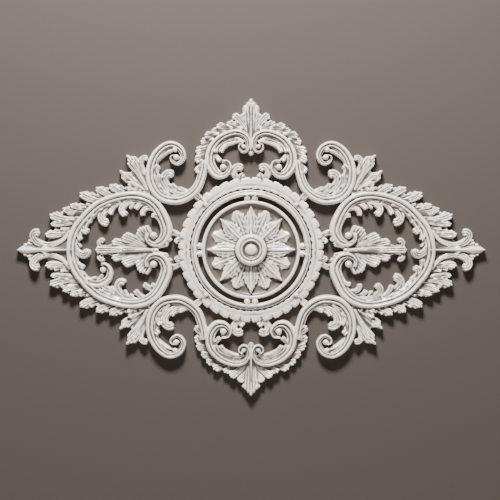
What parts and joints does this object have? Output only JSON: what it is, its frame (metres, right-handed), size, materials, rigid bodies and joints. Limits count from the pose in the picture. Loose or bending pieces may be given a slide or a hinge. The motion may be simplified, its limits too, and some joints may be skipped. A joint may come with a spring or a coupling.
{
  "type": "ceiling medallion",
  "caption": "Pierced diamond-shaped ceiling medallion: a petalled rosette in a ring, set in acanthus scrolls, cast in one piece with a flat back.",
  "frame": {"origin": "the middle of the flat back, behind the boss of the rosette, where the piece is glued and screwed up", "axes": "+Y into the ceiling or wall behind the flat back, -Y the carved face, X the long way from tip to tip, Z from crest to crest. The part stands upright as the picture shows it. Turned so that -Y looks down, it is on a ceiling."},
  "size_m": [1.0122, 0.0324, 0.6419],
  "materials": {
    "painted_cast": "warm white satin paint over a cast relief"
  },
  "bodies": {
    "root": {"medallion": "painted_cast"}
  },
  "joints": []
}
